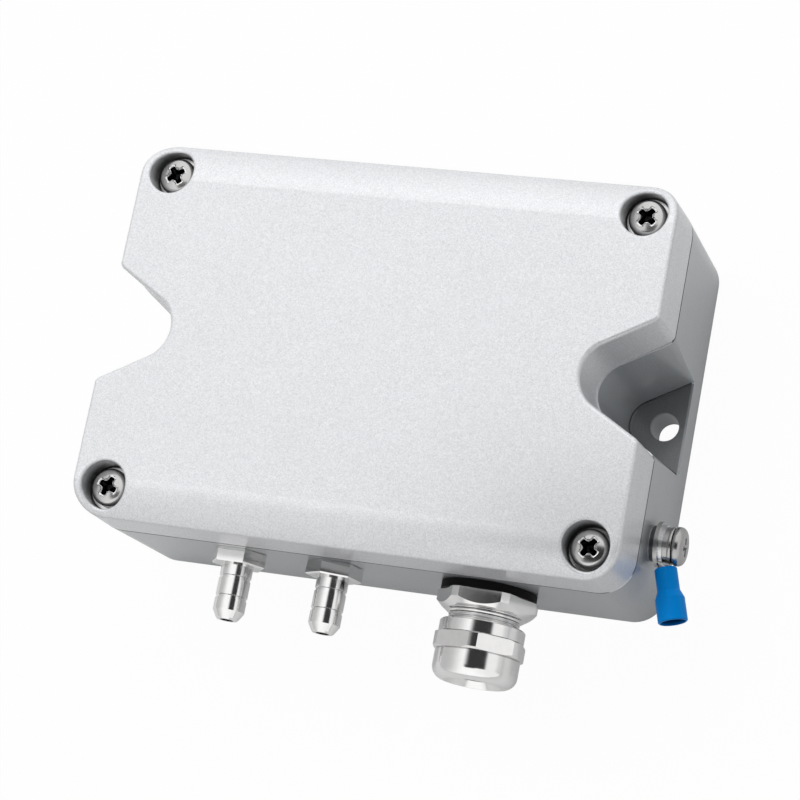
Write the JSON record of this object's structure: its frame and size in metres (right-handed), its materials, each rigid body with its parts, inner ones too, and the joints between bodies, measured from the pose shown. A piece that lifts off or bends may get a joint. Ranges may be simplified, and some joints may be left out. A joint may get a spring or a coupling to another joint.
{
  "type": "differential pressure transmitter",
  "caption": "Die-cast case lying on its back, with a crowned screwed lid, two open mounting notches, hose barbs and a cable gland on one long side and an earth terminal on one end.",
  "frame": {"origin": "centre of the two mounting holes, on the back plane", "axes": "+Z out of the wall through the lid, +X from mounting hole to mounting hole towards the earth terminal, -Y towards the hose barbs and the cable gland"},
  "size_m": [0.1244, 0.0993, 0.0457],
  "materials": {
    "cast_base": "semi-gloss paint on a die casting",
    "cast_lid": "fine metallic speckle paint on a die casting",
    "stainless": "bright turned",
    "black_rubber": "matte",
    "silicone": "satin",
    "nickel_brass": "nickel plated, bright",
    "cage_plastic": "satin",
    "tinned_metal": "tin plated",
    "zinc_steel": "zinc plated",
    "blue_sleeve": "semi-gloss",
    "board_green": "solder mask gloss",
    "block_green": "satin",
    "black_plastic": "satin",
    "button_plastic": "satin",
    "capacitor_can": "satin"
  },
  "bodies": {
    "case": {"base_housing": "cast_base", "board_screws": "stainless", "capacitors": "capacitor_can", "chip_legs": "tinned_metal", "circuit_board": "board_green", "gland_body": "nickel_brass", "gland_gasket": "black_rubber", "gland_locknut": "nickel_brass", "ground_flat_washer": "stainless", "port_nut_high": "nickel_brass", "port_nut_low": "nickel_brass", "port_seal_high": "black_rubber", "port_seal_low": "black_rubber", "pressure_port_high": "nickel_brass", "pressure_port_low": "nickel_brass", "resistors": "black_plastic", "sensing_tube_high": "silicone", "sensing_tube_low": "silicone", "sensor_body": "black_plastic", "sensor_pins": "tinned_metal", "signal_chip": "black_plastic", "small_chips": "black_plastic", "terminal_block": "block_green", "zero_switch_body": "black_plastic"},
    "lid": {"lid": "cast_lid", "lid_gasket": "black_rubber"},
    "lid_washer_1": {"lid_washer_1": "stainless"},
    "lid_screw_1": {"lid_screw_1": "stainless"},
    "lid_washer_2": {"lid_washer_2": "stainless"},
    "lid_screw_2": {"lid_screw_2": "stainless"},
    "lid_washer_3": {"lid_washer_3": "stainless"},
    "lid_screw_3": {"lid_screw_3": "stainless"},
    "lid_washer_4": {"lid_washer_4": "stainless"},
    "lid_screw_4": {"lid_screw_4": "stainless"},
    "gland_clamping": {"gland_clamp_insert": "cage_plastic", "gland_seal": "black_rubber"},
    "gland_nut": {"gland_dome_nut": "nickel_brass"},
    "earth_lug": {"ring_terminal": "tinned_metal", "terminal_sleeve": "blue_sleeve"},
    "earth_spring_washer": {"ground_spring_washer": "stainless"},
    "earth_screw": {"ground_screw": "stainless"},
    "terminal_clamp_1": {"terminal_clamp_1": "zinc_steel"},
    "terminal_screw_1": {"terminal_screw_1": "zinc_steel"},
    "terminal_clamp_2": {"terminal_clamp_2": "zinc_steel"},
    "terminal_screw_2": {"terminal_screw_2": "zinc_steel"},
    "terminal_clamp_3": {"terminal_clamp_3": "zinc_steel"},
    "terminal_screw_3": {"terminal_screw_3": "zinc_steel"},
    "terminal_clamp_4": {"terminal_clamp_4": "zinc_steel"},
    "terminal_screw_4": {"terminal_screw_4": "zinc_steel"},
    "zero_button": {"zero_button": "button_plastic"}
  },
  "joints": [
    {"name": "lid_lift", "type": "slide", "parent": "case", "child": "lid", "axis": [0, 0, 1], "range_m": [0, 0.045]},
    {"name": "lid_screw_1_rise", "type": "slide", "parent": "lid", "child": "lid_washer_1", "axis": [0, 0, 1], "range_m": [0, 0.0092]},
    {"name": "lid_screw_1_turn", "type": "hinge", "parent": "lid_washer_1", "child": "lid_screw_1", "pos_m": [-0.0505, 0.0334, 0.03955], "axis": [0, 0, 1], "range_deg": [0, 4968]},
    {"name": "lid_screw_2_rise", "type": "slide", "parent": "lid", "child": "lid_washer_2", "axis": [0, 0, 1], "range_m": [0, 0.0092]},
    {"name": "lid_screw_2_turn", "type": "hinge", "parent": "lid_washer_2", "child": "lid_screw_2", "pos_m": [0.0505, 0.0334, 0.03955], "axis": [0, 0, 1], "range_deg": [0, 4968]},
    {"name": "lid_screw_3_rise", "type": "slide", "parent": "lid", "child": "lid_washer_3", "axis": [0, 0, 1], "range_m": [0, 0.0092]},
    {"name": "lid_screw_3_turn", "type": "hinge", "parent": "lid_washer_3", "child": "lid_screw_3", "pos_m": [-0.0505, -0.0334, 0.03955], "axis": [0, 0, 1], "range_deg": [0, 4968]},
    {"name": "lid_screw_4_rise", "type": "slide", "parent": "lid", "child": "lid_washer_4", "axis": [0, 0, 1], "range_m": [0, 0.0092]},
    {"name": "lid_screw_4_turn", "type": "hinge", "parent": "lid_washer_4", "child": "lid_screw_4", "pos_m": [0.0505, -0.0334, 0.03955], "axis": [0, 0, 1], "range_deg": [0, 4968]},
    {"name": "gland_nut_travel", "type": "slide", "parent": "case", "child": "gland_clamping", "axis": [0, -1, 0], "range_m": [0, 0.0064]},
    {"name": "gland_nut_turn", "type": "hinge", "parent": "gland_clamping", "child": "gland_nut", "pos_m": [0.0257, -0.04, 0.0205], "axis": [0, -1, 0], "range_deg": [0, 1620]},
    {"name": "earth_lug_swivel", "type": "hinge", "parent": "case", "child": "earth_lug", "pos_m": [0.0586, -0.0269, 0.022], "axis": [1, 0, 0], "range_deg": [-90, 90]},
    {"name": "earth_screw_travel", "type": "slide", "parent": "case", "child": "earth_spring_washer", "axis": [1, 0, 0], "range_m": [0, 0.0085]},
    {"name": "earth_screw_turn", "type": "hinge", "parent": "earth_spring_washer", "child": "earth_screw", "pos_m": [0.0586, -0.0269, 0.022], "axis": [1, 0, 0], "range_deg": [0, 4590]},
    {"name": "terminal_screw_1_rise", "type": "slide", "parent": "case", "child": "terminal_clamp_1", "axis": [0, 0, 1], "range_m": [0, 0.0015]},
    {"name": "terminal_screw_1_turn", "type": "hinge", "parent": "terminal_clamp_1", "child": "terminal_screw_1", "pos_m": [0.017, -0.0155, 0.0142], "axis": [0, 0, 1], "range_deg": [0, 1134]},
    {"name": "terminal_screw_2_rise", "type": "slide", "parent": "case", "child": "terminal_clamp_2", "axis": [0, 0, 1], "range_m": [0, 0.0015]},
    {"name": "terminal_screw_2_turn", "type": "hinge", "parent": "terminal_clamp_2", "child": "terminal_screw_2", "pos_m": [0.022, -0.0155, 0.0142], "axis": [0, 0, 1], "range_deg": [0, 1134]},
    {"name": "terminal_screw_3_rise", "type": "slide", "parent": "case", "child": "terminal_clamp_3", "axis": [0, 0, 1], "range_m": [0, 0.0015]},
    {"name": "terminal_screw_3_turn", "type": "hinge", "parent": "terminal_clamp_3", "child": "terminal_screw_3", "pos_m": [0.027, -0.0155, 0.0142], "axis": [0, 0, 1], "range_deg": [0, 1134]},
    {"name": "terminal_screw_4_rise", "type": "slide", "parent": "case", "child": "terminal_clamp_4", "axis": [0, 0, 1], "range_m": [0, 0.0015]},
    {"name": "terminal_screw_4_turn", "type": "hinge", "parent": "terminal_clamp_4", "child": "terminal_screw_4", "pos_m": [0.032, -0.0155, 0.0142], "axis": [0, 0, 1], "range_deg": [0, 1134]},
    {"name": "zero_button_press", "type": "slide", "parent": "case", "child": "zero_button", "axis": [0, 0, -1], "range_m": [0, 0.00025], "stiffness_N_per_m": 4000}
  ],
  "couplings": [
    {"joint": "lid_screw_1_turn", "follows": "lid_screw_1_rise", "rad_per_m": 8976},
    {"joint": "lid_screw_2_turn", "follows": "lid_screw_2_rise", "rad_per_m": 8976},
    {"joint": "lid_screw_3_turn", "follows": "lid_screw_3_rise", "rad_per_m": 8976},
    {"joint": "lid_screw_4_turn", "follows": "lid_screw_4_rise", "rad_per_m": 8976},
    {"joint": "gland_nut_turn", "follows": "gland_nut_travel", "rad_per_m": 4188.8},
    {"joint": "earth_screw_turn", "follows": "earth_screw_travel", "rad_per_m": 8976},
    {"joint": "terminal_screw_1_turn", "follows": "terminal_screw_1_rise", "rad_per_m": 12566},
    {"joint": "terminal_screw_2_turn", "follows": "terminal_screw_2_rise", "rad_per_m": 12566},
    {"joint": "terminal_screw_3_turn", "follows": "terminal_screw_3_rise", "rad_per_m": 12566},
    {"joint": "terminal_screw_4_turn", "follows": "terminal_screw_4_rise", "rad_per_m": 12566}
  ]
}
